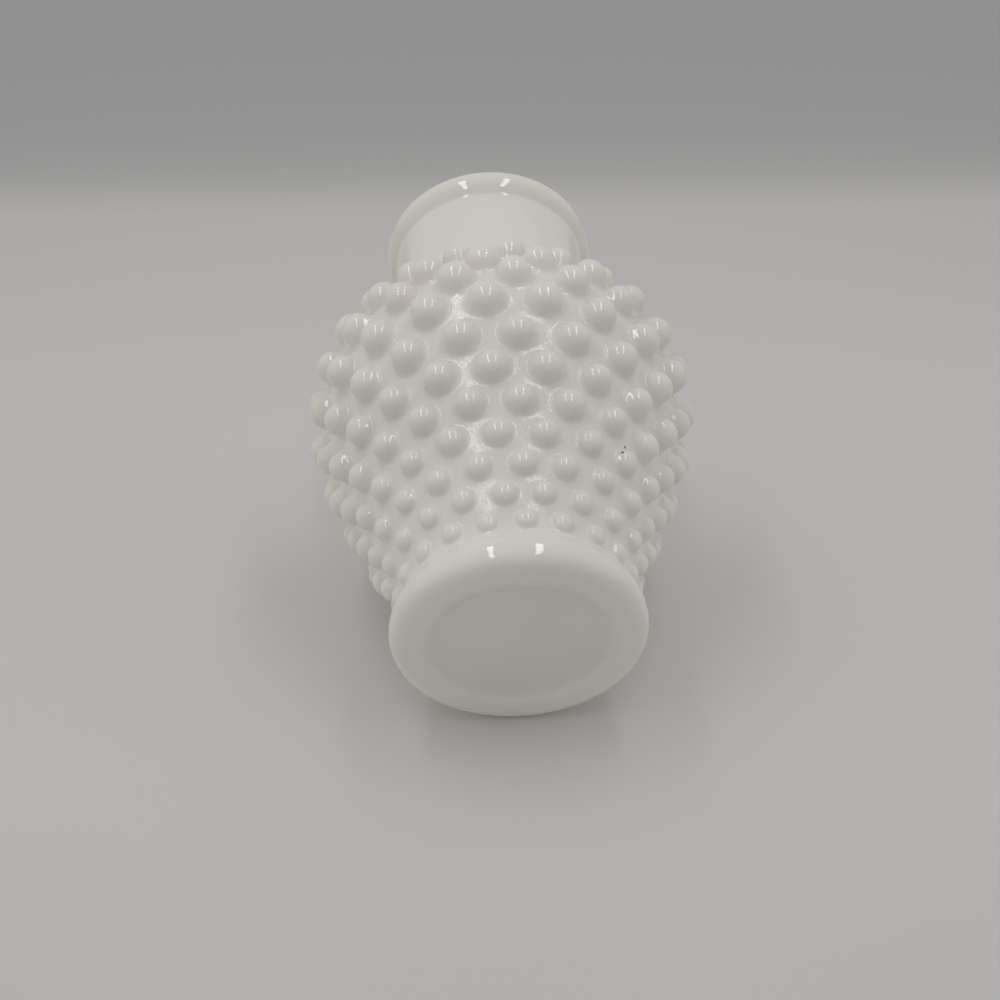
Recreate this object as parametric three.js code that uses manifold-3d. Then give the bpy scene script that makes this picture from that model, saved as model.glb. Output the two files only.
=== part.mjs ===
// Milk glass vase with a hobnail body, a thick round foot and a plain collar neck.
// Millimetres, +Z up. The origin is the centre of the flat underside of the foot.
import * as THREE from "three";
import { mergeVertices } from "three/addons/utils/BufferGeometryUtils.js";
import Module from "manifold-3d";

// The foot: a thick disc with a fully rounded edge and a sunk disc underneath.
const footRadius = 35;
const footThickness = 10;
const footRecessRadius = 25.4;
const footRecessDepth = 1.5;
const footRecessSlope = 0.6;

// The outer wall of the body: nearly straight from the foot to the belly, then round to the neck.
const waistRadius = 29.4;
const bellyRadius = 52.6;
const bellyAboveFoot = 75;
const neckAboveBelly = 30;
const lowerFlare = 0.36;
const lowerFlareRun = 8;
const bellyRoundRun = 17;

// The neck and the lip.
const neckRadius = 31;
const neckLength = 41;
const neckHollow = 0.8;
const neckTopDraw = 0.2;
const lipLength = 10.2;
const lipFlare = 2.4;
const lipRoundRadius = 2.1;
const lipFlareLowRun = 3.5;
const lipFlareHighRun = 4;
const lipInsideRun = 2;

// The glass.
const bodyWall = 4.5;
const neckWall = 4;
const floorThickness = 5;
const floorCornerRadius = 7;

// The hobs: rows of round knobs, each row half a pitch round from the one below it.
const hobsPerRow = 20;
const hobRows = 11;
const bellyHobRadius = 5.5;
const hobRise = 1.1;
const firstRowUp = 6.8;
const lastRowDown = 18.4;
const widestRowGap = 6;
const bellyGapRatio = 1.46;
const rowsInLowerBody = 6;

// Heights and radii that follow from the sizes above.
const bellyHeight = footThickness + bellyAboveFoot;
const shoulderHeight = bellyHeight + neckAboveBelly;
const neckTopHeight = shoulderHeight + neckLength;
const neckTopRadius = neckRadius - neckTopDraw;
const lipHeight = neckTopHeight + lipLength;
const lipRadius = neckTopRadius + lipFlare;

// How finely the round forms are cut into flats.
const bodySegments = 2 * hobsPerRow;
const plainSegments = 48;
const hobSides = 8;
const hobCrownAngle = 48;
const steepestPatch = 0.96;
const shoulderSteps = 4;
const cavitySteps = 12;
const floorCornerSteps = 4;
const footEdgeSteps = 10;
const neckSteps = 4;
const lipFlareSteps = 5;
const lipRoundSteps = 6;
const lipInsideSteps = 3;
const slabSides = 16;
const cutPast = 1;
const weldDistance = 1e-4;

const milkGlass = { color: 0xe4e0d8, roughness: 0.12, metalness: 0 };

const wasm = await Module();
wasm.setup();

// A closed three.js geometry as a solid that can be joined and cut.
function solidOf(geometry) {
  const bare = geometry.clone();
  bare.deleteAttribute("normal");
  bare.deleteAttribute("uv");
  const merged = mergeVertices(bare, weldDistance);
  return new wasm.Manifold(
    new wasm.Mesh({
      numProp: 3,
      vertProperties: new Float32Array(merged.attributes.position.array),
      triVerts: new Uint32Array(merged.index.array),
    }),
  );
}

// A solid back as a geometry.
function geometryOf(solid) {
  const mesh = solid.getMesh();
  const geometry = new THREE.BufferGeometry();
  geometry.setAttribute("position", new THREE.BufferAttribute(mesh.vertProperties, mesh.numProp));
  geometry.setIndex(new THREE.BufferAttribute(mesh.triVerts, 1));
  const flat = geometry.toNonIndexed();
  flat.computeVertexNormals();
  return flat;
}

// A profile of (radius, height) points turned about +Z.
function turned(profile, segments) {
  return new THREE.LatheGeometry(profile, segments).rotateX(Math.PI / 2);
}

function point(radius, height) {
  return new THREE.Vector2(radius, height);
}

// Points along an arc, from one angle to another, in degrees from the outward radius.
function arcPoints(centreRadius, centreHeight, radius, fromDegrees, toDegrees, steps) {
  return Array.from({ length: steps + 1 }, (_, i) => {
    const angle = THREE.MathUtils.degToRad(fromDegrees + ((toDegrees - fromDegrees) * i) / steps);
    return point(
      centreRadius + radius * Math.cos(angle),
      centreHeight + radius * Math.sin(angle),
    );
  });
}

function namedMesh(name, geometry) {
  const mesh = new THREE.Mesh(geometry, new THREE.MeshStandardMaterial(milkGlass));
  mesh.name = name;
  return mesh;
}

// The outer wall of the body, from the top of the foot to the root of the neck.
function bodyOutline() {
  const outline = new THREE.Path();
  outline.moveTo(waistRadius, footThickness);
  outline.bezierCurveTo(
    waistRadius + lowerFlare * lowerFlareRun,
    footThickness + lowerFlareRun,
    bellyRadius,
    bellyHeight - bellyRoundRun,
    bellyRadius,
    bellyHeight,
  );
  outline.absellipse(
    neckRadius,
    bellyHeight,
    bellyRadius - neckRadius,
    shoulderHeight - bellyHeight,
    0,
    Math.PI / 2,
    false,
    0,
  );
  return outline;
}

const outline = bodyOutline();
const outlineLength = outline.getLength();

// A point of the outer wall and its outward normal, at a distance along the wall from the foot.
function wallAt(distance) {
  const share = THREE.MathUtils.clamp(distance / outlineLength, 0, 1);
  const at = outline.getPoint(share);
  const along = outline.getTangent(share);
  return { at, normal: point(along.y, -along.x) };
}

// How far along the wall each row of hobs stands: the gaps widen up to the belly and close again.
function rowDistances() {
  const gaps = Array.from({ length: hobRows - 1 }, (_, i) => {
    const lastGap = hobRows - 2;
    const rise = i <= widestRowGap ? i / widestRowGap : (lastGap - i) / (lastGap - widestRowGap);
    return 1 + (bellyGapRatio - 1) * rise;
  });
  const total = gaps.reduce((sum, gap) => sum + gap, 0);
  const span = outlineLength - firstRowUp - lastRowDown;
  const distances = [firstRowUp];
  for (const gap of gaps) distances.push(distances.at(-1) + (gap / total) * span);
  return distances;
}

const rows = rowDistances();
const topOfHobs = rows.at(-1) + bellyHobRadius * hobRise;
const pitchAngle = (2 * Math.PI) / hobsPerRow;

// A point of the outer wall: how far along it, how many hob pitches round it, how far out from it.
function onWall(distance, turn, lift = 0) {
  const { at, normal } = wallAt(distance);
  const angle = pitchAngle * (((turn % hobsPerRow) + hobsPerRow) % hobsPerRow);
  const radius = at.x + normal.x * lift;
  return new THREE.Vector3(
    radius * Math.cos(angle),
    radius * Math.sin(angle),
    at.y + normal.y * lift,
  );
}

// One ring of points round a hob, with each point's angle about the middle of the hob.
function hobRing(distance, turn, reach, lift) {
  const pitch = wallAt(distance).at.x * pitchAngle;
  return Array.from({ length: hobSides }, (_, i) => {
    const angle = (2 * Math.PI * (i + 0.5)) / hobSides;
    const aside = (reach * Math.cos(angle)) / pitch;
    return { angle, at: onWall(distance + reach * Math.sin(angle), turn + aside, lift) };
  });
}

// Where the patches of a row and the next one up meet: the peak of the lower patches, which is
// level with the sides of the upper ones, and the foot of the upper patches.
function seam(row) {
  const gap = rows[row + 1] - rows[row];
  const halfPitch = (wallAt(rows[row] + gap / 2).at.x * pitchAngle) / 2;
  const peak = Math.min((1 + (halfPitch / gap) ** 2) / 2, steepestPatch);
  return { peak: rows[row] + gap * peak, foot: rows[row] + gap * (1 - peak) };
}

// The edge of the patch of wall that one hob stands on: six points, which its neighbours share.
function patchEdge(row, turn) {
  const below = row === 0 ? { peak: 0, foot: 0 } : seam(row - 1);
  const above = row === hobRows - 1 ? { peak: topOfHobs, foot: topOfHobs } : seam(row);
  const corners = [
    [0.5, above.foot],
    [0, above.peak],
    [-0.5, above.foot],
    [-0.5, below.peak],
    [0, below.foot],
    [0.5, below.peak],
  ];
  const pitch = wallAt(rows[row]).at.x * pitchAngle;
  return corners.map(([aside, distance]) => {
    const angle = Math.atan2(distance - rows[row], aside * pitch);
    return {
      angle: angle < 0 ? angle + 2 * Math.PI : angle,
      at: onWall(distance, turn + aside),
    };
  });
}

// Triangles between two rings round one middle, both counter-clockwise from the angle 0.
function stitched(outer, inner) {
  const triangles = [];
  const angleOf = (ring, i) => ring[i % ring.length].angle + (i < ring.length ? 0 : 2 * Math.PI);
  const on = (ring, i) => ring[i % ring.length].at;
  let i = 0;
  let j = 0;
  while (i < outer.length || j < inner.length) {
    const outerIsNext = angleOf(outer, i + 1) < angleOf(inner, j + 1);
    if (j === inner.length || (i < outer.length && outerIsNext)) {
      triangles.push(on(outer, i), on(outer, i + 1), on(inner, j));
      i += 1;
    } else {
      triangles.push(on(outer, i), on(inner, j + 1), on(inner, j));
      j += 1;
    }
  }
  return triangles;
}

// One hob and its patch of wall.
function hobPatch(row, turn) {
  const distance = rows[row];
  const radius = (bellyHobRadius * wallAt(distance).at.x) / bellyRadius;
  const rise = radius * hobRise;
  const crown = THREE.MathUtils.degToRad(hobCrownAngle);
  const foot = hobRing(distance, turn, radius, 0);
  const shoulder = hobRing(distance, turn, radius * Math.sin(crown), rise * Math.cos(crown));
  const tip = onWall(distance, turn, rise);
  const cap = shoulder.flatMap(({ at }, i) => [at, shoulder[(i + 1) % hobSides].at, tip]);
  return [...stitched(patchEdge(row, turn), foot), ...stitched(foot, shoulder), ...cap];
}

// A plain band of wall between two distances, or a disc where one end is on the axis.
function band(lowPoint, highPoint) {
  const triangles = [];
  for (let i = 0; i < bodySegments; i++) {
    const lowLeft = lowPoint(i / 2);
    const lowRight = lowPoint((i + 1) / 2);
    const highLeft = highPoint(i / 2);
    const highRight = highPoint((i + 1) / 2);
    if (!lowLeft.equals(lowRight)) triangles.push(lowLeft, lowRight, highRight);
    if (!highLeft.equals(highRight)) triangles.push(lowLeft, highRight, highLeft);
  }
  return triangles;
}

// The outside of the body as one closed form: hobs, plain shoulder, flat bottom and flat top.
function bodyOutside() {
  const shoulder = Array.from(
    { length: shoulderSteps + 1 },
    (_, i) => topOfHobs + ((outlineLength - topOfHobs) * i) / shoulderSteps,
  );
  const triangles = [];
  for (let row = 0; row < hobRows; row++) {
    const halfPitch = row % 2 === 1 ? 0.5 : 0;
    for (let i = 0; i < hobsPerRow; i++) triangles.push(...hobPatch(row, i + halfPitch));
  }
  for (let i = 0; i < shoulderSteps; i++) {
    triangles.push(
      ...band(
        (turn) => onWall(shoulder[i], turn),
        (turn) => onWall(shoulder[i + 1], turn),
      ),
    );
  }
  const bottom = new THREE.Vector3(0, 0, footThickness);
  const top = new THREE.Vector3(0, 0, shoulderHeight);
  triangles.push(...band(() => bottom, (turn) => onWall(0, turn)));
  triangles.push(...band((turn) => onWall(outlineLength, turn), () => top));
  return solidOf(new THREE.BufferGeometry().setFromPoints(triangles));
}

// A point of the inner wall, behind the outer wall at a distance along it.
function insideAt(distance) {
  const { at, normal } = wallAt(distance);
  return at.clone().addScaledVector(normal, -bodyWall);
}

// The hollow inside the body, open at the top to the bore of the neck.
function cavity() {
  const floor = footThickness + floorThickness;
  const start = floorThickness + floorCornerRadius;
  const inner = Array.from({ length: cavitySteps + 1 }, (_, i) =>
    insideAt(start + ((outlineLength - start) * i) / cavitySteps),
  );
  const corner = arcPoints(
    inner[0].x - floorCornerRadius,
    floor + floorCornerRadius,
    floorCornerRadius,
    -90,
    0,
    floorCornerSteps,
  );
  const boreRadius = neckRadius - neckWall;
  return solidOf(
    turned(
      [
        point(0, floor),
        ...corner,
        ...inner,
        point(boreRadius, shoulderHeight - bodyWall),
        point(boreRadius, shoulderHeight + cutPast),
        point(0, shoulderHeight + cutPast),
      ],
      bodySegments,
    ),
  );
}

// A plain drum that takes in everything between two heights.
function slab(low, high) {
  const drum = new THREE.CylinderGeometry(
    2 * bellyRadius,
    2 * bellyRadius,
    high - low,
    slabSides,
  );
  return solidOf(drum.rotateX(Math.PI / 2).translate(0, 0, (low + high) / 2));
}

// The foot: rounded edge, flat ring to stand on, sunk disc in the middle.
function footGeometry() {
  const edge = footThickness / 2;
  return turned(
    [
      point(0, footRecessDepth),
      point(footRecessRadius - footRecessSlope, footRecessDepth),
      point(footRecessRadius, 0),
      ...arcPoints(footRadius - edge, edge, edge, -90, 90, footEdgeSteps),
      point(0, footThickness),
    ],
    plainSegments,
  );
}

// The neck: a plain collar, a little narrower in the middle.
function neckGeometry() {
  const middle = (neckRadius + neckTopRadius) / 2;
  const curve = new THREE.QuadraticBezierCurve(
    point(neckRadius, shoulderHeight),
    point(middle - 2 * neckHollow, shoulderHeight + neckLength / 2),
    point(neckTopRadius, neckTopHeight),
  );
  const outer = curve.getPoints(neckSteps);
  const inner = outer.map((p) => point(p.x - neckWall, p.y)).reverse();
  return turned([...outer, ...inner, outer[0]], plainSegments);
}

// The lip: the collar flares out and ends in a round bead.
function lipGeometry() {
  const beadRadius = lipRadius - lipRoundRadius;
  const beadHeight = lipHeight - lipRoundRadius;
  const boreRadius = neckTopRadius - neckWall;
  const flare = new THREE.CubicBezierCurve(
    point(neckTopRadius, neckTopHeight),
    point(neckTopRadius, neckTopHeight + lipFlareLowRun),
    point(lipRadius, beadHeight - lipFlareHighRun),
    point(lipRadius, beadHeight),
  ).getPoints(lipFlareSteps);
  const inside = new THREE.QuadraticBezierCurve(
    point(beadRadius - lipRoundRadius, beadHeight),
    point(boreRadius, beadHeight - lipInsideRun),
    point(boreRadius, neckTopHeight),
  ).getPoints(lipInsideSteps);
  const bead = arcPoints(beadRadius, beadHeight, lipRoundRadius, 0, 180, lipRoundSteps);
  return turned([...flare.slice(0, -1), ...bead, ...inside.slice(1), flare[0]], plainSegments);
}

const body = bodyOutside().subtract(cavity());
const belt = wallAt((rows[rowsInLowerBody - 1] + rows[rowsInLowerBody]) / 2).at.y;

const vase = new THREE.Group();
vase.add(namedMesh("foot", footGeometry()));
vase.add(
  namedMesh("lower_body", geometryOf(body.intersect(slab(footThickness - cutPast, belt)))),
);
vase.add(
  namedMesh("upper_body", geometryOf(body.intersect(slab(belt, shoulderHeight + cutPast)))),
);
vase.add(namedMesh("neck", neckGeometry()));
vase.add(namedMesh("lip", lipGeometry()));

export default vase;
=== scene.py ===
"""A hobnail milk glass vase on a pale table, seen as in the photograph.

Metres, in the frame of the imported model: +Z runs up the axis of the vase, from the foot
to the mouth. In the photograph the vase lies on its side with the foot towards the
camera, so the table here is a steep plane at its -X side, and the camera is below the vase.
"""

import math

import bpy
import numpy as np
from mathutils import Matrix, Vector


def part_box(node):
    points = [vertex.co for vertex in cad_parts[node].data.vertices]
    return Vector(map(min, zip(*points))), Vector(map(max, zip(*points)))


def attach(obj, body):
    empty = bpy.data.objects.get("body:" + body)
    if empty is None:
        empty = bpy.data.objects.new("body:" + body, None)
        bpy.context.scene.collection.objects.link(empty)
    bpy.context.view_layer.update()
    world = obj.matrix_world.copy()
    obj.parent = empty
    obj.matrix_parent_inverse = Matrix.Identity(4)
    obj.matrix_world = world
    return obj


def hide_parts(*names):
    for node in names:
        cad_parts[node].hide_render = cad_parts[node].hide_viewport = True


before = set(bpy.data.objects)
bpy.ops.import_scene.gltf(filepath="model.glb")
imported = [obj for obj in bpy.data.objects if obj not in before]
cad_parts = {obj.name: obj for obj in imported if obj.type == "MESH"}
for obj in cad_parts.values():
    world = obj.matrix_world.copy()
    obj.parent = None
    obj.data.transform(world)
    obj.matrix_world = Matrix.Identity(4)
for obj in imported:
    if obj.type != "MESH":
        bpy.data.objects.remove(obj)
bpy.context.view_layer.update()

MM = 0.001
UP = Vector((0, 0, 1))

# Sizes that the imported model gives.
FOOT_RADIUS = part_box("foot")[1].x
FOOT_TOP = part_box("foot")[1].z
SHOULDER_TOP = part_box("upper_body")[1].z
NECK_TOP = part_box("neck")[1].z
LIP_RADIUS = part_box("lip")[1].x
LIP_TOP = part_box("lip")[1].z

# The foot. Names that end in SHARE, here and below, say where along its reach a curve's
# middle points lie.
RECESS_RADIUS = 25.4 * MM
RECESS_DEPTH = 1.5 * MM
RECESS_RINGS = (0, 0.35, 0.7)
RECESS_SLOPE = 0.85 * MM
RECESS_EASE_IN = 5 * RECESS_SLOPE
RECESS_EASE_OUT = 3 * RECESS_SLOPE
RING_WIDTH = 4.4 * MM
FOOT_FACE_UP = 5 * MM
FOOT_FACE_OUT_SHARE = 0.66
FOOT_FACE_UP_SHARE = 0.38
FOOT_SHOULDER_DROP = 0.5 * MM
FOOT_SHOULDER_DRAW = 1.3 * MM
FOOT_SHOULDER_SLOPE = math.radians(36)
FOOT_SHOULDER_EASE = 1.8 * MM
FOOT_LEAN = np.array([-math.sin(FOOT_SHOULDER_SLOPE), math.cos(FOOT_SHOULDER_SLOPE)])
COVE_TOP = 3.2 * MM
COVE_EASE = 1.4 * MM

# The outer wall of the body.
WAIST_RADIUS = 29.4 * MM
BELLY_RADIUS = 52.6 * MM
BELLY_HEIGHT = 85 * MM
LOWER_FLARE = 0.36
LOWER_FLARE_RUN = 8 * MM
BELLY_ROUND_RUN = 17 * MM
ROOT_FLARE = 4 * MM
ROOT_RUN = 8 * MM

# The collar: neck and lip.
NECK_RADIUS = 31 * MM
NECK_HOLLOW = 0.5 * MM
NECK_TOP_DRAW = 0.75 * MM
NECK_FILLET = 2.4 * MM
NECK_FILLET_SHARE = 0.7
LIP_ROOT_UP = 1.6 * MM
LIP_ROOT_UP_SHARE = 0.5
LIP_ROOT_OUT = 0.4 * MM
LIP_ROOT_OUT_SHARE = 0.8
LIP_BULGE = 2.2 * MM
LIP_BULGE_SHARE = 0.8
LIP_FACE_DROP = 3.7 * MM
LIP_FACE_DROP_SHARE = 0.3
LIP_CROWN_DRAW = 2.2 * MM
LIP_CROWN_SHARE = 0.5
LIP_WIDTH = 4.6 * MM

# The inside.
BODY_WALL = 4.5 * MM
NECK_WALL = 4 * MM
FLOOR_TOP = 15 * MM
FLOOR_CORNER = 7 * MM

# The hobs. Their caps are a little flat, and their flanks flare out to the wall.
HOBS_PER_ROW = 20
HOB_ROWS = 11
ROWS_IN_LOWER_BODY = 6
BELLY_HOB_RADIUS = 5.5 * MM
HOB_RISE = 1.02
HOB_CAP = 0.85
HOB_FLATNESS = 2.8
HOB_FLARE = 0.4
HOB_FLARE_ROOM = 0.9
HOB_POLISHED_FROM = 0.5
FIRST_ROW_UP = 6.8 * MM
LAST_ROW_DOWN = 18.4 * MM
LAST_ROW_ROOM = 6 * MM
WIDEST_ROW_GAP = 6
BELLY_GAP_RATIO = 1.46
STEEPEST_PATCH = 0.96
LOW_ROWS_RUN = 52 * MM
LOW_ROWS_LOWER = 0.5
LOW_ROWS_THINNER = 0.12
HOB_SIZE_SPREAD = 0.02
HOB_PLACE_SPREAD = 0.15 * MM
HOB_SPREAD_LIMIT = 2
HOB_SEED = 11

# How finely the surfaces are divided.
SLANT_STEPS = 5
SIDE_STEPS = 2
ROUND_STEPS = 2 * SLANT_STEPS * HOBS_PER_ROW
HOB_STEPS = 11
SHOULDER_POINTS = 6
INSIDE_POINTS = 20

PIECES = ("foot", "lower_body", "upper_body", "neck", "lip")


# The outer wall as a line


def bezier(points, steps):
    """Points of a Bezier curve of any order, by de Casteljau."""
    share = np.linspace(0, 1, steps + 1)[:, None]
    level = [np.array(p, float)[None, :] for p in points]
    while len(level) > 1:
        level = [a * (1 - share) + b * share for a, b in zip(level, level[1:])]
    return level[0]


def arc(centre, radii, start, end, steps):
    """Points of an arc of an ellipse in the half plane of the profile, angles in degrees."""
    angle = np.radians(np.linspace(start, end, steps + 1))
    return np.array(centre) + np.stack([np.cos(angle), np.sin(angle)], 1) * np.array(radii)


class Wall:
    """The outer wall of the body by distance along it, from the foot to the neck."""

    SAMPLES = 2000

    def __init__(self):
        lower = bezier(
            [
                (WAIST_RADIUS, FOOT_TOP),
                (WAIST_RADIUS + LOWER_FLARE * LOWER_FLARE_RUN, FOOT_TOP + LOWER_FLARE_RUN),
                (BELLY_RADIUS, BELLY_HEIGHT - BELLY_ROUND_RUN),
                (BELLY_RADIUS, BELLY_HEIGHT),
            ],
            steps=self.SAMPLES,
        )
        upper = arc(
            (NECK_RADIUS, BELLY_HEIGHT),
            (BELLY_RADIUS - NECK_RADIUS, SHOULDER_TOP - BELLY_HEIGHT),
            start=0,
            end=90,
            steps=self.SAMPLES,
        )
        line = np.concatenate([lower, upper[1:]])
        near_foot = np.clip(1 - (line[:, 1] - FOOT_TOP) / ROOT_RUN, 0, 1)
        line[:, 0] += ROOT_FLARE * near_foot**2
        step = np.linalg.norm(np.diff(line, axis=0), axis=1)
        self.distance = np.concatenate([[0], np.cumsum(step)])
        self.line = line
        slope = np.gradient(line, self.distance, axis=0)
        self.slope = slope / np.linalg.norm(slope, axis=1)[:, None]
        self.length = self.distance[-1]

    def at(self, distance):
        """(radius, height) at a distance along the wall."""
        return np.stack([np.interp(distance, self.distance, c) for c in self.line.T], -1)

    def along(self, distance):
        """The direction along the wall there, as (radius, height)."""
        return np.stack([np.interp(distance, self.distance, c) for c in self.slope.T], -1)

    def normal(self, distance):
        """The outward normal there, as (radius, height)."""
        along = self.along(distance)
        return np.stack([along[..., 1], -along[..., 0]], -1)

    def inside(self, distance):
        """(radius, height) on the inner face of the glass."""
        return self.at(distance) - self.normal(distance) * BODY_WALL


WALL = Wall()


def row_distances():
    """How far along the wall each row of hobs stands; the gaps are widest near the belly."""
    last = HOB_ROWS - 2
    closing = last - WIDEST_ROW_GAP
    rise = [min(i / WIDEST_ROW_GAP, (last - i) / closing) for i in range(HOB_ROWS - 1)]
    gaps = 1 + (BELLY_GAP_RATIO - 1) * np.array(rise)
    span = WALL.length - FIRST_ROW_UP - LAST_ROW_DOWN
    return FIRST_ROW_UP + np.concatenate([[0], np.cumsum(gaps)]) / gaps.sum() * span


ROWS = row_distances()
HOBS_TOP = ROWS[-1] + LAST_ROW_ROOM
PITCH = 2 * math.pi / HOBS_PER_ROW


def row_turn(row):
    """How far a row is turned, in hob pitches: every other row stands half a pitch on."""
    return 0.5 * (row % 2)


def on_wall(distance, turn, lift=0.0):
    """Points of the wall: distance along it, turn in hob pitches, lift along its normal."""
    at = WALL.at(distance) + WALL.normal(distance) * np.asarray(lift)[..., None]
    angle = np.asarray(turn) * PITCH
    return np.stack([at[..., 0] * np.cos(angle), at[..., 0] * np.sin(angle), at[..., 1]], -1)


def ring(point):
    """A profile point turned about the axis."""
    radius, height = point
    angle = np.arange(ROUND_STEPS) * 2 * math.pi / ROUND_STEPS
    heights = np.full(ROUND_STEPS, height)
    return np.stack([np.cos(angle) * radius, np.sin(angle) * radius, heights], 1)


def turned(line):
    """The rings of a whole profile line."""
    return [ring(point) for point in line]


# The skin of the glass


class Skin:
    """Collects the faces of every piece of glass, and merges the points that they share.

    Hidden faces close a piece where it meets the next one inside the glass. The normals come
    from the whole skin without them, so that no seam shows where two pieces meet.
    """

    MERGE = 1e-6

    def __init__(self):
        self.points = []
        self.polish = []
        self.faces = []
        self.count = 0

    def add_points(self, points, polish=1.0):
        """Adds points, on smooth glass by the share polish, and gives the index of the first."""
        self.points.append(np.asarray(points))
        self.polish.append(np.full(len(points), polish))
        self.count += len(points)
        return self.count - len(points)

    def strip(self, piece, rings, polish=None, hidden=False):
        """Quads between rings of equally many points, each ring closed on itself."""
        size = len(rings[0])
        polish = [1.0] * len(rings) if polish is None else polish
        starts = [self.add_points(*pair) for pair in zip(rings, polish)]
        for low, high in zip(starts, starts[1:]):
            for i in range(size):
                j = (i + 1) % size
                self.faces.append((piece, hidden, (low + i, low + j, high + j, high + i)))

    def fan(self, piece, edge, point, hidden=False):
        """Triangles from a ring to one point."""
        start = self.add_points(edge)
        tip = self.add_points([point])
        for i in range(len(edge)):
            self.faces.append((piece, hidden, (start + i, start + (i + 1) % len(edge), tip)))

    def meshes(self):
        """One closed mesh per piece, with the point attribute polish."""
        points = np.concatenate(self.points)
        keys = np.round(points / self.MERGE).astype(np.int64)
        _, first, same = np.unique(keys, axis=0, return_index=True, return_inverse=True)
        same = same.reshape(-1)
        points = points[first]
        polish = np.concatenate(self.polish)[first]
        faces = []
        for piece, hidden, face in self.faces:
            merged = [int(same[i]) for i in face]
            kept = [v for i, v in enumerate(merged) if v != merged[i - 1]]
            if len(kept) > 2:
                faces.append((piece, hidden, kept))
        whole = bpy.data.meshes.new("whole")
        whole.from_pydata(points.tolist(), [], [face for _, hidden, face in faces if not hidden])
        normals = np.empty(len(points) * 3)
        whole.vertex_normals.foreach_get("vector", normals)
        normals = normals.reshape(-1, 3)
        bpy.data.meshes.remove(whole)
        return {piece: self.piece_mesh(piece, faces, points, polish, normals) for piece in PIECES}

    def piece_mesh(self, piece, faces, points, polish, normals):
        """The mesh of one piece."""
        own = [(hidden, face) for name, hidden, face in faces if name == piece]
        used = sorted({v for _, face in own for v in face})
        place = {v: i for i, v in enumerate(used)}
        mesh = bpy.data.meshes.new(f"{piece}_glass")
        mesh.from_pydata(points[used].tolist(), [], [[place[v] for v in face] for _, face in own])
        mesh.attributes.new("polish", "FLOAT", "POINT").data.foreach_set("value", polish[used])
        mesh.shade_smooth()
        corner_normals = []
        for hidden, face in own:
            a, b, c = points[face[0]], points[face[1]], points[face[2]]
            flat = np.cross(b - a, c - a)
            if hidden:
                corner_normals += [flat / np.linalg.norm(flat)] * len(face)
            else:
                corner_normals += list(normals[face])
        mesh.normals_split_custom_set(corner_normals)
        return mesh


# The hobs


def seam(row):
    """The highest and the lowest place of the zigzag between a row and the next one up."""
    gap = ROWS[row + 1] - ROWS[row]
    half_pitch = WALL.at(ROWS[row] + gap / 2)[0] * PITCH / 2
    peak = min((1 + (half_pitch / gap) ** 2) / 2, STEEPEST_PATCH)
    return ROWS[row] + gap * peak, ROWS[row] + gap * (1 - peak)


def seam_ring(row):
    """The zigzag line all round between a row and the next one up."""
    peak, foot = seam(row)
    turn = np.arange(ROUND_STEPS) * HOBS_PER_ROW / ROUND_STEPS
    off_middle = np.abs((turn - row_turn(row) + 0.5) % 1 - 0.5)
    return on_wall(peak + (foot - peak) * 2 * off_middle, turn)


def patch_edge(row):
    """The edge of the patch under one hob, as (turn from the hob's middle, distance) points."""
    below_peak, below_foot = (COVE_TOP, COVE_TOP) if row == 0 else seam(row - 1)
    above_peak, above_foot = (HOBS_TOP, HOBS_TOP) if row == HOB_ROWS - 1 else seam(row)
    corners = [
        (0.5, above_foot, SLANT_STEPS),
        (0, above_peak, SLANT_STEPS),
        (-0.5, above_foot, SIDE_STEPS),
        (-0.5, below_peak, SLANT_STEPS),
        (0, below_foot, SLANT_STEPS),
        (0.5, below_peak, SIDE_STEPS),
    ]
    points = []
    following = corners[1:] + corners[:1]
    for (turn, distance, steps), (next_turn, next_distance, _) in zip(corners, following):
        share = np.arange(steps)[:, None] / steps
        points.append((1 - share) * (turn, distance) + share * (next_turn, next_distance))
    return np.concatenate(points)


def hob_profile():
    """Rings of one hob, from the wall to below the tip, as shares (cap, flare, lift)."""
    share = np.arange(HOB_STEPS) / HOB_STEPS
    lift = np.sin(share * math.pi / 2) ** 2
    return zip(np.sqrt(1 - lift**HOB_FLATNESS), (1 - np.sqrt(lift)) ** 2, lift)


def hob(skin, piece, row, turn, chance):
    """One hob with its patch of wall; in the lowest rows it is lower and thinner."""
    distance = ROWS[row]
    girth = WALL.at(distance)[0]
    drawn = chance.normal(size=4)
    size, high, aside, up = drawn.clip(-HOB_SPREAD_LIMIT, HOB_SPREAD_LIMIT)
    low = max(0, 1 - distance / LOW_ROWS_RUN)
    width = BELLY_HOB_RADIUS * girth / BELLY_RADIUS * (1 + size * HOB_SIZE_SPREAD)
    rise = width * HOB_RISE * (1 - LOW_ROWS_LOWER * low) * (1 + high * HOB_SIZE_SPREAD)
    radius = width * (1 - LOW_ROWS_THINNER * low)
    pitch = girth * PITCH
    edge = patch_edge(row)
    middle = np.array([aside, up]) * HOB_PLACE_SPREAD
    spoke = (edge - (0, distance)) * (pitch, 1) - middle
    reach = np.linalg.norm(spoke, axis=1)
    way = spoke / reach[:, None]
    cap = radius * HOB_CAP
    room = np.minimum(HOB_FLARE * radius, HOB_FLARE_ROOM * (reach - cap))
    rings = [on_wall(edge[:, 1], turn + edge[:, 0])]
    polish = [0.0]
    for across, flare, lift in hob_profile():
        place = middle + way * (cap * across + room * flare)[:, None]
        rings.append(on_wall(distance + place[:, 1], turn + place[:, 0] / pitch, lift * rise))
        polish.append(min(1.0, lift / HOB_POLISHED_FROM))
    skin.strip(piece, rings, polish)
    skin.fan(piece, rings[-1], on_wall(distance + middle[1], turn + middle[0] / pitch, rise))


# The forms of the vase, as profile lines


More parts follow.
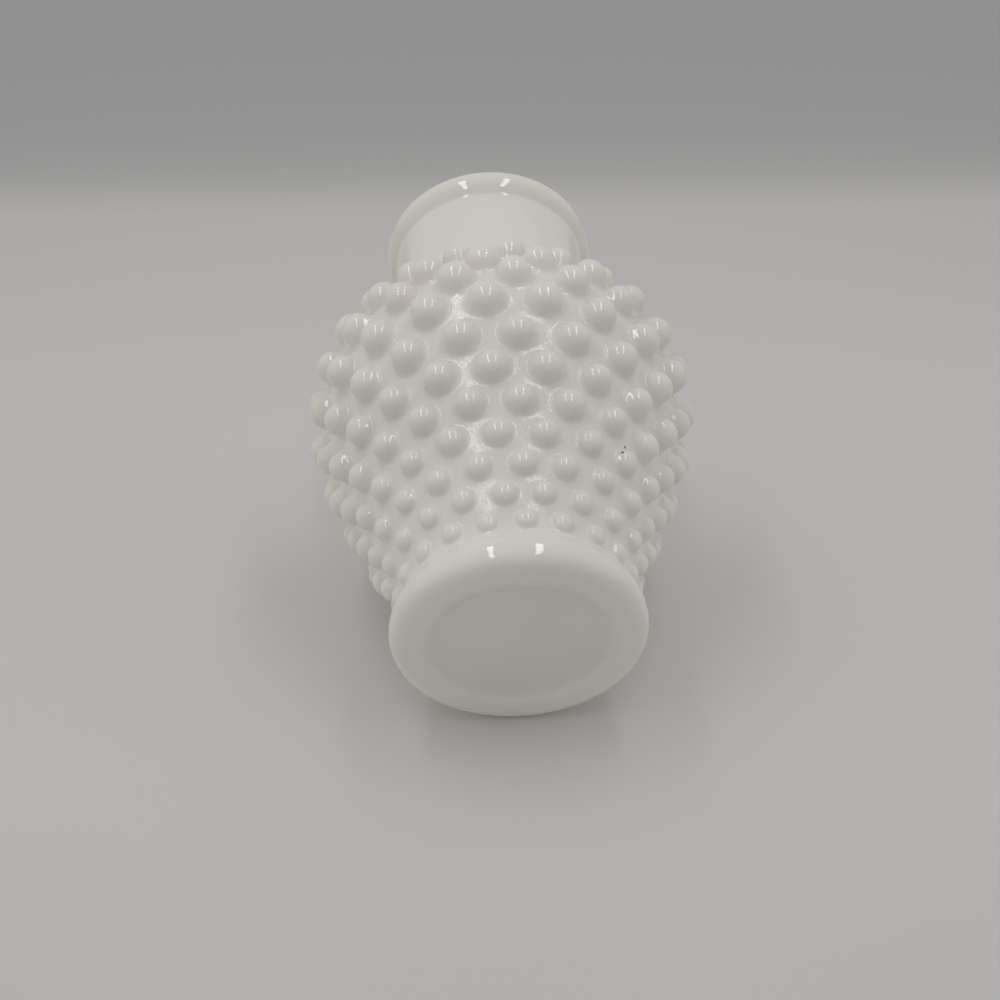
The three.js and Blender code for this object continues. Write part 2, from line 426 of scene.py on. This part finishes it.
def foot_line():
    """The foot, from the middle of its underside to the top of its edge."""
    recess = [(RECESS_RADIUS * share, RECESS_DEPTH) for share in RECESS_RINGS]
    rim = bezier(
        [
            (RECESS_RADIUS - RECESS_EASE_IN, RECESS_DEPTH),
            (RECESS_RADIUS - RECESS_SLOPE, RECESS_DEPTH),
            (RECESS_RADIUS - RECESS_SLOPE, 0),
            (RECESS_RADIUS + RECESS_EASE_OUT, 0),
        ],
        steps=10,
    )
    ring_edge = RECESS_RADIUS + RING_WIDTH
    face = bezier(
        [
            (ring_edge, 0),
            (ring_edge + FOOT_FACE_OUT_SHARE * (FOOT_RADIUS - ring_edge), 0),
            (FOOT_RADIUS, FOOT_FACE_UP_SHARE * FOOT_FACE_UP),
            (FOOT_RADIUS, FOOT_FACE_UP),
        ],
        steps=16,
    )
    edge = np.array([FOOT_RADIUS - FOOT_SHOULDER_DRAW, FOOT_TOP - FOOT_SHOULDER_DROP])
    shoulder = bezier(
        [
            (FOOT_RADIUS, FOOT_FACE_UP),
            (FOOT_RADIUS, FOOT_FACE_UP + FOOT_SHOULDER_EASE),
            edge - FOOT_LEAN * FOOT_SHOULDER_EASE,
            edge,
        ],
        steps=8,
    )
    return [*recess, *rim, *face, *shoulder[1:]]


def cove_line():
    """The hollow curve from the edge of the foot up to the wall of the body."""
    edge = foot_line()[-1]
    top = WALL.at(COVE_TOP)
    leave = edge + FOOT_LEAN * COVE_EASE
    arrive = top - WALL.along(COVE_TOP) * COVE_EASE
    return bezier([edge, leave, arrive, top], steps=10)


def shoulder_line():
    """The shoulder above the hobs, and the fillet up to the neck."""
    start = WALL.length - NECK_FILLET
    root = WALL.at(start)
    fillet = bezier(
        [
            root,
            root + WALL.along(start) * NECK_FILLET * NECK_FILLET_SHARE,
            (NECK_RADIUS, SHOULDER_TOP + NECK_FILLET * (1 - NECK_FILLET_SHARE)),
            (NECK_RADIUS, SHOULDER_TOP + NECK_FILLET),
        ],
        steps=6,
    )
    return [*WALL.at(np.linspace(HOBS_TOP, start, SHOULDER_POINTS)), *fillet[1:]]


def neck_line():
    """The outside of the neck, a little hollow: it goes half as far in as its middle point."""
    top_radius = NECK_RADIUS - NECK_TOP_DRAW
    middle = (NECK_RADIUS + top_radius) / 2
    return bezier(
        [
            (NECK_RADIUS, SHOULDER_TOP + NECK_FILLET),
            (middle - 2 * NECK_HOLLOW, (SHOULDER_TOP + NECK_TOP) / 2),
            (top_radius, NECK_TOP),
        ],
        steps=14,
    )


def lip_line():
    """The lip, from the top of the neck over its crown and down to the bore."""
    start = NECK_RADIUS - NECK_TOP_DRAW
    bore = start - NECK_WALL
    root = (start + LIP_ROOT_OUT, NECK_TOP + LIP_ROOT_UP)
    ease = LIP_ROOT_OUT_SHARE * LIP_ROOT_OUT
    widest = LIP_TOP - LIP_FACE_DROP
    edge = LIP_TOP - LIP_FACE_DROP_SHARE * LIP_FACE_DROP
    hollow = bezier(
        [
            (start, NECK_TOP),
            (start, NECK_TOP + LIP_ROOT_UP_SHARE * LIP_ROOT_UP),
            (root[0] - ease, root[1] - ease),
            root,
        ],
        steps=6,
    )
    face = bezier(
        [
            root,
            (root[0] + LIP_BULGE, root[1] + LIP_BULGE),
            (LIP_RADIUS, widest - LIP_BULGE_SHARE * LIP_BULGE),
            (LIP_RADIUS, widest),
        ],
        steps=12,
    )
    crown = bezier(
        [
            (LIP_RADIUS, widest),
            (LIP_RADIUS, edge),
            (LIP_RADIUS - LIP_CROWN_SHARE * LIP_CROWN_DRAW, LIP_TOP),
            (LIP_RADIUS - LIP_CROWN_DRAW, LIP_TOP),
        ],
        steps=8,
    )
    inner = LIP_RADIUS - LIP_WIDTH
    inside = bezier(
        [
            (LIP_RADIUS - LIP_CROWN_DRAW, LIP_TOP),
            (inner + LIP_CROWN_SHARE * (LIP_WIDTH - LIP_CROWN_DRAW), LIP_TOP),
            (inner, edge),
            (inner, widest),
        ],
        steps=8,
    )
    throat = bezier(
        [(inner, widest), (bore, widest - LIP_FACE_DROP), (bore, NECK_TOP)],
        steps=8,
    )
    return [*hollow, *face[1:], *crown[1:], *inside[1:], *throat[1:]]


def inside_line(start, end):
    """The inner face of the body's glass between two distances along the wall."""
    return list(WALL.inside(np.linspace(start, end, INSIDE_POINTS)))


def corner_line(above):
    """The rounded corner from a point of the inner face down to the floor of the bowl."""
    centre = (above[0] - FLOOR_CORNER, FLOOR_TOP + FLOOR_CORNER)
    corner = arc(centre, (FLOOR_CORNER, FLOOR_CORNER), start=0, end=-90, steps=8)
    return list(corner[1:])


def build_skin():
    """The whole glass: each piece is closed inside the glass where the next one begins."""
    skin = Skin()
    chance = np.random.default_rng(HOB_SEED)
    foot = foot_line()
    cove = cove_line()
    middle_of_joint = (0, 0, cove[0][1])
    skin.fan("foot", ring(foot[1])[::-1], (0, 0, foot[0][1]))
    skin.strip("foot", turned(foot[1:]))
    skin.fan("foot", ring(cove[0]), middle_of_joint, hidden=True)

    skin.fan("lower_body", ring(cove[0])[::-1], middle_of_joint, hidden=True)
    skin.strip("lower_body", turned(cove))
    for row in range(HOB_ROWS):
        piece = "lower_body" if row < ROWS_IN_LOWER_BODY else "upper_body"
        for i in range(HOBS_PER_ROW):
            hob(skin, piece, row, i + row_turn(row), chance)
    joint = sum(seam(ROWS_IN_LOWER_BODY - 1)) / 2
    joint_inside = ring(WALL.inside(joint))
    joint_outside = seam_ring(ROWS_IN_LOWER_BODY - 1)
    skin.strip("lower_body", [joint_outside, joint_inside], hidden=True)
    lower_inside = inside_line(joint, FLOOR_TOP - FOOT_TOP + FLOOR_CORNER)
    bottom = lower_inside + corner_line(lower_inside[-1])
    skin.strip("lower_body", turned(bottom))
    skin.fan("lower_body", ring(bottom[-1]), (0, 0, FLOOR_TOP))

    skin.strip("upper_body", [joint_inside, joint_outside], hidden=True)
    shoulder = shoulder_line()
    bore = NECK_RADIUS - NECK_WALL
    collar_foot = (bore, shoulder[-1][1])
    skin.strip("upper_body", turned(shoulder))
    skin.strip("upper_body", turned([shoulder[-1], collar_foot]), hidden=True)
    bore_end = (bore, SHOULDER_TOP - BODY_WALL)
    upper_inside = [collar_foot, bore_end, *inside_line(WALL.length, joint)]
    skin.strip("upper_body", turned(upper_inside))

    neck = neck_line()
    lip = lip_line()
    skin.strip("neck", turned([collar_foot, neck[0]]), hidden=True)
    skin.strip("neck", turned(neck))
    skin.strip("neck", turned([neck[-1], lip[-1]]), hidden=True)
    bore_middle = (bore - 2 * NECK_HOLLOW, (SHOULDER_TOP + NECK_TOP) / 2)
    neck_inside = bezier([lip[-1], bore_middle, collar_foot], steps=14)
    skin.strip("neck", turned(neck_inside))

    skin.strip("lip", turned([lip[-1], lip[0]]), hidden=True)
    skin.strip("lip", turned(lip))
    return skin


def make_vase():
    """The pieces of glass, each in place of its plain node."""
    glass = milk_glass()
    pieces = []
    for name, mesh in build_skin().meshes().items():
        piece = add(bpy.data.objects.new(mesh.name, mesh))
        mesh.materials.append(glass)
        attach(piece, "root")
        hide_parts(name)
        pieces.append(piece)
    return pieces


# The look of the glass

GLASS_LIGHT = (0.8, 0.77, 0.722, 1)
GLASS_DEEP = (0.76, 0.725, 0.675, 1)
# Painted shade: the next colour greys the sunk disc under the foot; it is not a colour of the
# glass.
DISC_SHADE = (0.95, 0.955, 0.965, 1)
DISC_FADE = 2.5 * MM
DISC_HIGHEST = 2 * RECESS_DEPTH
GLASS_IOR = 1.5
GLASS_SPECULAR = 0.78
POLISHED = 0.03
UNPOLISHED = 0.12
SPECK_COLOUR = (0.12, 0.09, 0.08, 1)
# Three specks of dirt: where each lies and its radius, in millimetres.
SPECKS = ((30.6, 29.4, 44.6, 0.45), (32.3, 28.0, 40.9, 0.42), (36.9, 32.9, 61.8, 0.35))
STAIN_TINT = (0.94, 0.95, 0.84, 1)
STAIN_MIDDLE = Vector((29.3, 13.3, 16.1)) * MM
STAIN_RADIUS = 2.8 * MM
CLOUD_SIZE = 35 * MM
CLOUD_CONTRAST = 2.5
PEEL_SIZE = 0.55 * MM
PEEL_DEPTH = 0.055 * MM
WAVE_SIZE = 4 * MM
WAVE_DEPTH = 0.07 * MM


def noise(tree, place, size, detail):
    """Noise from about -0.5 to 0.5, with features of about one size."""
    node = tree.nodes.new("ShaderNodeTexNoise")
    node.inputs["Scale"].default_value = 1 / size
    node.inputs["Detail"].default_value = detail
    tree.links.new(place, node.inputs["Vector"])
    return math_node(tree, "SUBTRACT", node.outputs["Fac"], 0.5)


def math_node(tree, operation, first, second):
    """A math node on a socket and on a socket or number."""
    node = tree.nodes.new("ShaderNodeMath")
    node.operation = operation
    tree.links.new(first, node.inputs[0])
    if isinstance(second, (int, float)):
        node.inputs[1].default_value = second
    else:
        tree.links.new(second, node.inputs[1])
    return node.outputs["Value"]


def bump(tree, height, depth, normal=None):
    """A bump node of a given depth, over another one's normal."""
    node = tree.nodes.new("ShaderNodeBump")
    node.inputs["Distance"].default_value = depth
    tree.links.new(height, node.inputs["Height"])
    if normal is not None:
        tree.links.new(normal, node.inputs["Normal"])
    return node.outputs["Normal"]


def blend(tree, kind, first, second, share):
    """A colour mix: first is a socket, second a colour, share a socket."""
    node = tree.nodes.new("ShaderNodeMix")
    node.data_type = "RGBA"
    node.blend_type = kind
    node.inputs["B"].default_value = second
    tree.links.new(first, node.inputs["A"])
    tree.links.new(share, node.inputs["Factor"])
    return node.outputs["Result"]


def split(tree, vector):
    """The X, Y and Z sockets of a vector socket, by name."""
    node = tree.nodes.new("ShaderNodeSeparateXYZ")
    tree.links.new(vector, node.inputs["Vector"])
    return node.outputs


def fade(tree, value, start, end):
    """Rises smoothly from 0 to 1 while a value goes from start to end."""
    node = tree.nodes.new("ShaderNodeMapRange")
    node.interpolation_type = "SMOOTHSTEP"
    node.inputs["From Min"].default_value = start
    node.inputs["From Max"].default_value = end
    tree.links.new(value, node.inputs["Value"])
    return node.outputs["Result"]


def paint_disc_shade(tree, place, colour):
    """Painted shade: the sunk disc under the foot painted a little greyer, for the shade in the
    recess and under the thin glass there.
    """
    axes = split(tree, place)
    flat = tree.nodes.new("ShaderNodeCombineXYZ")
    tree.links.new(axes["X"], flat.inputs["X"])
    tree.links.new(axes["Y"], flat.inputs["Y"])
    girth = tree.nodes.new("ShaderNodeVectorMath")
    girth.operation = "LENGTH"
    tree.links.new(flat.outputs["Vector"], girth.inputs[0])
    inwards = fade(tree, girth.outputs["Value"], RECESS_RADIUS, RECESS_RADIUS - DISC_FADE)
    low = math_node(tree, "LESS_THAN", axes["Z"], DISC_HIGHEST)
    disc = math_node(tree, "MULTIPLY", inwards, low)
    return blend(tree, "MULTIPLY", colour, DISC_SHADE, disc)


def distance_to(tree, place, middle):
    """How far a point of the glass is from one place."""
    apart = tree.nodes.new("ShaderNodeVectorMath")
    apart.operation = "DISTANCE"
    apart.inputs[1].default_value = middle
    tree.links.new(place, apart.inputs[0])
    return apart.outputs["Value"]


def dirty(tree, place, colour):
    """The specks of dirt that the photograph shows, and a faint green stain above the foot."""
    for *middle, radius in SPECKS:
        apart = distance_to(tree, place, Vector(middle) * MM)
        inside = math_node(tree, "LESS_THAN", apart, radius * MM)
        colour = blend(tree, "MIX", colour, SPECK_COLOUR, inside)
    stained = fade(tree, distance_to(tree, place, STAIN_MIDDLE), STAIN_RADIUS, 0)
    return blend(tree, "MULTIPLY", colour, STAIN_TINT, stained)


def milk_glass():
    """Opaque white glass, faintly warm: pebbled between the hobs, gently uneven elsewhere."""
    material = bpy.data.materials.new("milk_glass")
    material.use_nodes = True
    tree = material.node_tree
    shader = tree.nodes["Principled BSDF"]
    shader.inputs["IOR"].default_value = GLASS_IOR
    shader.inputs["Specular IOR Level"].default_value = GLASS_SPECULAR
    place = tree.nodes.new("ShaderNodeTexCoord").outputs["Object"]
    tint = tree.nodes.new("ShaderNodeValToRGB")
    tint.color_ramp.elements[0].color = GLASS_DEEP
    tint.color_ramp.elements[1].color = GLASS_LIGHT
    cloud = noise(tree, place, CLOUD_SIZE, detail=3)
    cloud = math_node(tree, "MULTIPLY", cloud, CLOUD_CONTRAST)
    tree.links.new(math_node(tree, "ADD", cloud, 0.5), tint.inputs["Fac"])
    # The sunk disc gets painted shade here; the specks and the stain are the glass's own dirt.
    colour = dirty(tree, place, paint_disc_shade(tree, place, tint.outputs["Color"]))
    tree.links.new(colour, shader.inputs["Base Color"])
    attribute = tree.nodes.new("ShaderNodeAttribute")
    attribute.attribute_name = "polish"
    polish = attribute.outputs["Fac"]
    smoothing = math_node(tree, "MULTIPLY", polish, POLISHED - UNPOLISHED)
    roughness = math_node(tree, "ADD", smoothing, UNPOLISHED)
    tree.links.new(roughness, shader.inputs["Roughness"])
    pebbled = math_node(tree, "SUBTRACT", polish, 1.0)
    peel = math_node(tree, "MULTIPLY", noise(tree, place, PEEL_SIZE, detail=1), pebbled)
    wave = math_node(tree, "MULTIPLY", noise(tree, place, WAVE_SIZE, detail=1), polish)
    normal = bump(tree, wave, WAVE_DEPTH, bump(tree, peel, PEEL_DEPTH))
    tree.links.new(normal, shader.inputs["Normal"])
    return material


# The stage, as in the photograph: the vase lies on a table and the camera looks from below

VASE_MIDDLE = Vector((0, 0, 83 * MM))
TABLE_NORMAL = Vector((0.9537, -0.048, 0.297)).normalized()
TABLE_COLOUR = (0.66, 0.646, 0.632, 1)
# Painted shade: the table is blended towards this darker colour in front and into the distance.
BACKDROP_SHADE = (0.413, 0.411, 0.408, 1)
BACKDROP_LEAN = 0.025
TABLE_NEAR = -100 * MM
TABLE_FAR = 640 * MM
# Pairs: a place along the vase's axis, in millimetres, and the share of the darker colour: painted
# shade, a little in front and more into the distance, where less light falls.
NEAR_SHADE_SHARES = ((-100, 0.2), (-80, 0.15), (-60, 0.09), (-40, 0.03), (-10, 0))
MIDDLE_SHADE_SHARES = ((190, 0), (245, 0.07), (305, 0.14), (386, 0.15))
EDGE_SHADE_SHARES = ((399, 0.19), (432, 0.66), (462, 0.81), (500, 0.93), (640, 1))
TABLE_HALF = 1.3
TABLE_ROUGHNESS = 0.35
FLOOR_HALF = 3.0
FLOOR_GAP = 0.3 * MM
FLOOR_ROUGHNESS = 0.5
FLOOR_SPECULAR = 0.1

ROOM_LIGHT = 0.408
SIDE_LIGHT = 0.46
LEFT_LIGHT = 0.018
FAR_LIGHT = 0.1
PALE = 0.46

CAMERA_RIGHT = Vector((0.06858, 0.99599, -0.05753))
CAMERA_UP = Vector((0.67951, -0.00441, 0.73365))
CAMERA_PLACE = Vector((357.97, -46.18, -278.72)) * MM
CAMERA_LENS = 61.32
CAMERA_SENSOR = 36
CAMERA_NEAR = 0.01
CAMERA_FAR = 20

LIGHT_WAY = Vector((0.97, -0.13, 0.21)).normalized()
LIGHT_DISTANCE = 500 * MM
STRIP_LENGTH = 580 * MM
STRIP_WIDTH = 45 * MM
STRIPS = {"strip_left": -147 * MM, "strip_right": 193 * MM}
STRIP_WATTS = 0.37


def add(obj):
    """Puts an object in the scene."""
    bpy.context.scene.collection.objects.link(obj)
    return obj


def place_by_axes(obj, place, right, up, back):
    """Stands an object at a place, turned to three axes."""
    turn = Matrix((right, up, back)).transposed()
    obj.matrix_world = Matrix.Translation(place) @ turn.to_4x4()


def make_camera():
    """The camera of the photograph."""
    data = bpy.data.cameras.new("camera")
    data.sensor_width = CAMERA_SENSOR
    data.lens = CAMERA_LENS
    data.clip_start = CAMERA_NEAR
    data.clip_end = CAMERA_FAR
    camera = add(bpy.data.objects.new("camera", data))
    place_by_axes(camera, CAMERA_PLACE, CAMERA_RIGHT, CAMERA_UP, CAMERA_RIGHT.cross(CAMERA_UP))
    bpy.context.scene.camera = camera


def seen_from_front(name, roughness):
    """A material that shows from the front of a sheet only, and its shader."""
    material = bpy.data.materials.new(name)
    material.use_nodes = True
    tree = material.node_tree
    shader = tree.nodes["Principled BSDF"]
    shader.inputs["Roughness"].default_value = roughness
    clear = tree.nodes.new("ShaderNodeBsdfTransparent")
    side = tree.nodes.new("ShaderNodeNewGeometry")
    mix = tree.nodes.new("ShaderNodeMixShader")
    tree.links.new(side.outputs["Backfacing"], mix.inputs["Fac"])
    tree.links.new(shader.outputs["BSDF"], mix.inputs[1])
    tree.links.new(clear.outputs["BSDF"], mix.inputs[2])
    tree.links.new(mix.outputs["Shader"], tree.nodes["Material Output"].inputs["Surface"])
    return material, shader


def table_finish():
    """A pale satin table with painted shade: darker where it runs up into the backdrop, and a
    little darker in front, where less light falls.
    """
    material, shader = seen_from_front("table", TABLE_ROUGHNESS)
    tree = material.node_tree
    axes = split(tree, tree.nodes.new("ShaderNodeTexCoord").outputs["Object"])
    far = math_node(tree, "MULTIPLY", axes["Y"], BACKDROP_LEAN)
    far = math_node(tree, "ADD", far, axes["Z"])
    far = math_node(tree, "SUBTRACT", far, TABLE_NEAR)
    far = math_node(tree, "DIVIDE", far, TABLE_FAR - TABLE_NEAR)
    ramp = tree.nodes.new("ShaderNodeValToRGB")
    ramp.color_ramp.interpolation = "B_SPLINE"
    steps = ramp.color_ramp.elements
    steps.remove(steps[1])
    for reach, share in (*NEAR_SHADE_SHARES, *MIDDLE_SHADE_SHARES, *EDGE_SHADE_SHARES):
        position = (reach * MM - TABLE_NEAR) / (TABLE_FAR - TABLE_NEAR)
        step = steps.new(position) if position > 0 else steps[0]
        step.color = [t * (1 - share) + b * share for t, b in zip(TABLE_COLOUR, BACKDROP_SHADE)]
    tree.links.new(far, ramp.inputs["Fac"])
    tree.links.new(ramp.outputs["Color"], shader.inputs["Base Color"])
    return material


def floor_finish():
    """The same pale finish for the level floor."""
    material, shader = seen_from_front("floor", FLOOR_ROUGHNESS)
    shader.inputs["Base Color"].default_value = TABLE_COLOUR
    shader.inputs["Specular IOR Level"].default_value = FLOOR_SPECULAR
    return material


def sheet(name, middle, half, right, ahead, material):
    """A flat square sheet of the stage, facing right x ahead."""
    corners = [(-1, -1), (1, -1), (1, 1), (-1, 1)]
    points = [middle + right * (half * a) + ahead * (half * b) for a, b in corners]
    mesh = bpy.data.meshes.new(name)
    mesh.from_pydata([tuple(p) for p in points], [], [(0, 1, 2, 3)])
    mesh.materials.append(material)
    obj = add(bpy.data.objects.new(name, mesh))
    obj.visible_shadow = False
    return obj


def make_table(pieces):
    """The table under the lying vase, which touches its foot and its belly."""
    reach = []
    for piece in pieces:
        points = np.empty(len(piece.data.vertices) * 3)
        piece.data.vertices.foreach_get("co", points)
        reach.append((points.reshape(-1, 3) @ np.array(TABLE_NORMAL)).min())
    right = UP.cross(TABLE_NORMAL).normalized()
    ahead = TABLE_NORMAL.cross(right)
    sheet("table", TABLE_NORMAL * min(reach), TABLE_HALF, right, ahead, table_finish())


def make_floor():
    """A level floor for other views: only the camera sees it, and only from above."""
    right = Vector((1, 0, 0))
    ahead = Vector((0, 1, 0))
    floor = sheet("floor", -FLOOR_GAP * UP, FLOOR_HALF, right, ahead, floor_finish())
    floor.visible_diffuse = False
    floor.visible_glossy = False
    floor.visible_transmission = False
    return floor


def make_lights(floor):
    """The two long strips of the light box; they cross the level floor and leave it unlit."""
    along = (UP - LIGHT_WAY * LIGHT_WAY.z).normalized()
    aside = along.cross(LIGHT_WAY)
    unlit = bpy.data.collections.new("unlit_by_strips")
    unlit.objects.link(floor)
    unlit.collection_objects[0].light_linking.link_state = "EXCLUDE"
    for name, offset in STRIPS.items():
        place = VASE_MIDDLE + LIGHT_WAY * LIGHT_DISTANCE + aside * offset
        way = (place - VASE_MIDDLE).normalized()
        data = bpy.data.lights.new(name, "AREA")
        data.shape = "RECTANGLE"
        data.size = STRIP_WIDTH
        data.size_y = STRIP_LENGTH
        data.energy = STRIP_WATTS
        light = add(bpy.data.objects.new(name, data))
        place_by_axes(light, place, along.cross(way), along, way)
        light.visible_camera = False
        light.light_linking.receiver_collection = unlit


def make_world():
    """Room light, stronger from the sides, the left and the far end; it is seen as plain grey."""
    world = bpy.data.worlds.new("room")
    bpy.context.scene.world = world
    world.use_nodes = True
    tree = world.node_tree
    background = tree.nodes["Background"]
    background.inputs["Strength"].default_value = 1.0
    axes = split(tree, tree.nodes.new("ShaderNodeTexCoord").outputs["Generated"])
    aside = math_node(tree, "MULTIPLY", axes["Y"], axes["Y"])
    room = math_node(tree, "ADD", math_node(tree, "MULTIPLY", aside, SIDE_LIGHT), ROOM_LIGHT)
    for axis, strength in (("Y", -LEFT_LIGHT), ("Z", FAR_LIGHT)):
        part = math_node(tree, "MULTIPLY", axes[axis], strength)
        room = math_node(tree, "ADD", part, room)
    path = tree.nodes.new("ShaderNodeLightPath")
    seen = math_node(tree, "MAXIMUM", path.outputs["Is Camera Ray"], path.outputs["Is Glossy Ray"])
    seen = math_node(tree, "MAXIMUM", seen, path.outputs["Is Transmission Ray"])
    light = blend(tree, "MIX", room, (PALE, PALE, PALE, 1), seen)
    tree.links.new(light, background.inputs["Color"])


make_table(make_vase())
make_lights(make_floor())
make_camera()
make_world()

bpy.context.scene.view_settings.view_transform = "Standard"
